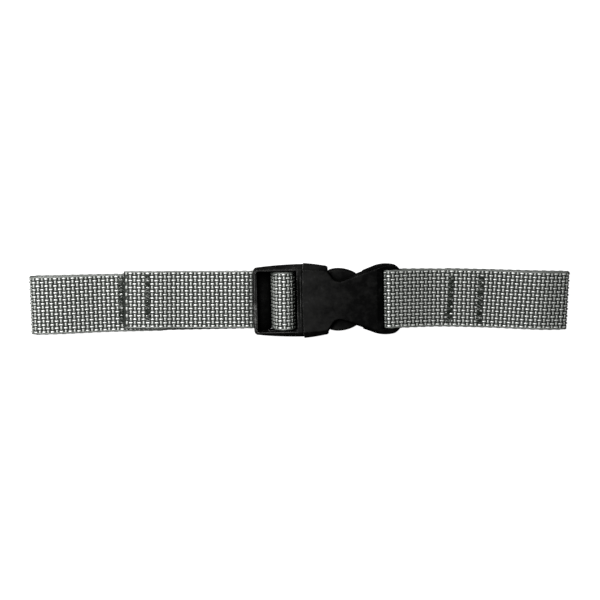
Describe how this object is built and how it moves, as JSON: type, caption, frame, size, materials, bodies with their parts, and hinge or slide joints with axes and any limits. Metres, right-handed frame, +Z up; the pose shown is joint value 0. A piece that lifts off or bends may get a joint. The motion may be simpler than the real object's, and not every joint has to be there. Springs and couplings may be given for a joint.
{
  "type": "side-release buckle strap",
  "caption": "Short sewn webbing connector strap with a ladder-lock side-release buckle in the middle and a flat belt loop at each end.",
  "frame": {"origin": "middle of the strap's length and width, on the surface it lies on", "axes": "+X along the strap from the plug side to the socket side, +Z up out of the buckle's face"},
  "size_m": [0.2394, 0.0332, 0.0115],
  "materials": {
    "buckle_plastic": "fine matte grain, black acetal",
    "webbing": "silver-grey plain-weave polypropylene webbing",
    "thread": "dark bonded sewing thread"
  },
  "bodies": {
    "socket": {"socket_body": "buckle_plastic"},
    "plug": {"plug_frame": "buckle_plastic"},
    "upper_arm": {"latch_arm_upper": "buckle_plastic"},
    "lower_arm": {"latch_arm_lower": "buckle_plastic"},
    "plug_webbing": {"plug_strap": "webbing", "bartack_plug_loop": "thread", "bartack_plug_inner": "thread"},
    "socket_webbing": {"socket_strap": "webbing", "bartack_socket_inner": "thread", "bartack_socket_loop": "thread"}
  },
  "joints": [
    {"name": "plug_slide", "type": "slide", "parent": "socket", "child": "plug", "axis": [-1, 0, 0], "range_m": [0, 0.035], "deforming": ["latch_arm_upper", "latch_arm_lower"]},
    {"name": "latch_arm_upper_press", "type": "hinge", "parent": "plug", "child": "upper_arm", "pos_m": [0.0026, 0.0101, 0.00575], "axis": [0, 0, -1], "range_deg": [0, 8], "stiffness_Nm_per_rad": 0.02},
    {"name": "latch_arm_lower_press", "type": "hinge", "parent": "plug", "child": "lower_arm", "pos_m": [0.0026, -0.0101, 0.00575], "axis": [0, 0, 1], "range_deg": [0, 8], "stiffness_Nm_per_rad": 0.02},
    {"name": "plug_strap_swivel", "type": "hinge", "parent": "plug", "child": "plug_webbing", "pos_m": [-0.00695, 0, 0.00535], "axis": [0, 1, 0], "range_deg": [-60, 0]},
    {"name": "socket_strap_swivel", "type": "hinge", "parent": "socket", "child": "socket_webbing", "pos_m": [0.0395, 0, 0.0069], "axis": [0, -1, 0], "range_deg": [-60, 75]}
  ]
}
